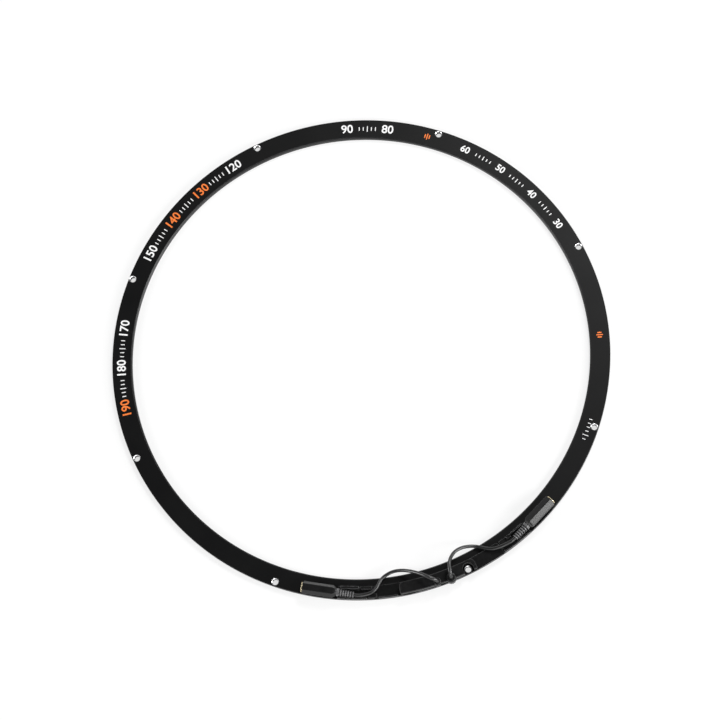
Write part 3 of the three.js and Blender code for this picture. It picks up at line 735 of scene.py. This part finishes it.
def tick(angle, radius, length, width):
    # a round-ended stroke
    bpy.ops.object.select_all(action="DESELECT")
    bpy.ops.mesh.primitive_plane_add(size=1)
    stroke = bpy.context.object
    stroke.scale = (length * mm, width * mm, 1)
    settle(stroke)
    bpy.ops.object.mode_set(mode="EDIT")
    bpy.ops.mesh.select_all(action="SELECT")
    bpy.ops.mesh.bevel(offset=width * 0.45 * mm, segments=3, affect="VERTICES")
    bpy.ops.mesh.select_all(action="SELECT")
    thick = (dialSet["lift"] + dialSet["sunk"]) * mm
    bpy.ops.mesh.extrude_region_move(TRANSFORM_OT_translate={"value": (0, 0, thick)})
    bpy.ops.mesh.select_all(action="SELECT")
    bpy.ops.mesh.normals_make_consistent(inside=False)
    bpy.ops.object.mode_set(mode="OBJECT")
    x, y = around(angle, radius * mm)
    stroke.location = (x, y, (ringSet["thickness"] - dialSet["sunk"]) * mm)
    stroke.rotation_euler = (0, 0, math.radians(angle))
    settle(stroke)
    return stroke


whiteMarks, orangeMarks = [], []
for ink, angles in dialSet["numbers"].items():
    size = dialSet["smallSize"] if ink == "small" else dialSet["size"]
    for angle in angles:
        mark = printed(str(angle), size, angle, dialSet["middle"])
        (orangeMarks if ink == "orange" else whiteMarks).append(mark)
for start, end, length in dialSet["tickArcs"]:
    for angle in range(start - 1, end, -1):
        away = min(angle % 10, 10 - angle % 10)
        if away < dialSet["nearNumber"]:
            continue
        long = length * (dialSet["longer"] if away == 5 else 1)
        whiteMarks.append(tick(angle, dialSet["middle"], long, dialSet["tickWidth"]))
for angle in dialSet["pointers"]:
    for turn, length in dialSet["pointerStrokes"]:
        orangeMarks.append(tick(angle + turn, dialSet["middle"], length, dialSet["pointerWidth"]))
for k, length in enumerate(dialSet["scaleTicks"]):
    angle = dialSet["scaleFrom"] - k
    whiteMarks.append(tick(angle, dialSet["middle"], length, dialSet["scaleWidth"]))
whiteDial = joined(whiteMarks, "whiteDial")
orangeDial = joined(orangeMarks, "orangeDial")
for dial, ink in ((whiteDial, "whiteInk"), (orangeDial, "orangeInk")):
    smooth(dial, 30)
    fit(dial, finishes[ink])
print("dial ready")

# Solids that keep their own shape
keptSolids = {
    "heater_foil": "copper", "rear_film": "film", "circuit_board": "board", "heater_wire_1": "copper",
    "heater_wire_2": "copper", "thermistor": "bead", "thermistor_wire": "copper",
    "base_screw_1": "steel", "base_screw_2": "steel",
}
for node, finish in keptSolids.items():
    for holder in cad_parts[node].material_slots:
        holder.material = finishes[finish]

# Floor with a wall that curves up round it
studioSet = {
    "floorRadius": 7, "bend": 1.5, "bendSteps": 8, "steps": 64, "wall": 4, "below": 0.05 * mm, "pale": 0.9,
    "glow": (0.72, 1), "glowReach": (0.9, 2.6), "world": 0.10,
}


def paperFinish():
    paper = bpy.data.materials.new("paper")
    paper.use_nodes = True
    tree = paper.node_tree
    add, link = tree.nodes.new, tree.links.new
    out = tree.nodes["Material Output"]
    tree.nodes.remove(tree.nodes["Principled BSDF"])
    lit = add("ShaderNodeBsdfDiffuse")
    lit.inputs["Color"].default_value = (studioSet["pale"],) * 3 + (1,)
    glow = add("ShaderNodeEmission")
    glow.inputs["Color"].default_value = (1, 1, 1, 1)
    ray = add("ShaderNodeLightPath")
    seen = add("ShaderNodeMath")
    seen.operation = "MAXIMUM"
    link(ray.outputs["Is Camera Ray"], seen.inputs[0])
    link(ray.outputs["Is Glossy Ray"], seen.inputs[1])
    through = add("ShaderNodeMath")
    through.operation = "MAXIMUM"
    link(seen.outputs["Value"], through.inputs[0])
    link(ray.outputs["Is Transmission Ray"], through.inputs[1])
    share = add("ShaderNodeMath")
    share.operation = "MULTIPLY"
    link(through.outputs["Value"], share.inputs[0])
    # the paper is evenly white away from the object, and keeps its shadow close by
    spot = add("ShaderNodeTexCoord")
    away = add("ShaderNodeVectorMath")
    away.operation = "LENGTH"
    link(spot.outputs["Object"], away.inputs[0])
    glows = add("ShaderNodeMapRange")
    glows.inputs["From Min"].default_value, glows.inputs["From Max"].default_value = studioSet["glowReach"]
    glows.inputs["To Min"].default_value, glows.inputs["To Max"].default_value = studioSet["glow"]
    link(away.outputs["Value"], glows.inputs["Value"])
    link(glows.outputs["Result"], share.inputs[1])
    both = add("ShaderNodeMixShader")
    link(share.outputs["Value"], both.inputs["Fac"])
    link(lit.outputs["BSDF"], both.inputs[1])
    link(glow.outputs["Emission"], both.inputs[2])
    link(both.outputs["Shader"], out.inputs["Surface"])
    return paper


bend = studioSet["bend"]
outline = [(0, 0), (studioSet["floorRadius"], 0)]
for k in range(1, studioSet["bendSteps"] + 1):
    t = k / studioSet["bendSteps"] * math.pi / 2
    outline.append((studioSet["floorRadius"] + bend * math.sin(t), bend * (1 - math.cos(t))))
outline.append((studioSet["floorRadius"] + bend, studioSet["wall"]))
floor = turned("paperFloor", outline, studioSet["steps"])
floor.location = (0, 0, -studioSet["below"])
settle(floor)
smooth(floor, 60)
floor.data.materials.append(paperFinish())

world = bpy.data.worlds.new("studio")
scene.world = world
world.use_nodes = True
world.node_tree.nodes["Background"].inputs["Color"].default_value = (1, 1, 1, 1)
world.node_tree.nodes["Background"].inputs["Strength"].default_value = studioSet["world"]

lampSet = {
    "skySoftbox": {"place": (0.8, 1.2, 1.6), "size": 0.7, "power": 26},
    "rightStrip": {"place": (1.75, -0.35, 0.55), "size": 0.9, "power": 30},
    "leftStrip": {"place": (-1.7, -0.3, 0.8), "size": 0.8, "power": 24},
    "frontStrip": {"place": (0.3, -1.8, 0.6), "size": 0.8, "power": 9},
    "cornerStrip": {"place": (1.43, -1.07, 1.2), "size": 0.6, "power": 16},
}
for name, lamp in lampSet.items():
    bpy.ops.object.light_add(type="AREA", location=lamp["place"])
    light = named(bpy.context.object, name)
    light.data.shape = "SQUARE"
    light.data.size = lamp["size"]
    light.data.energy = lamp["power"]
    aim = -light.location
    light.rotation_euler = aim.to_track_quat("-Z", "Y").to_euler()
print("studio ready")

bpy.context.view_layer.update()
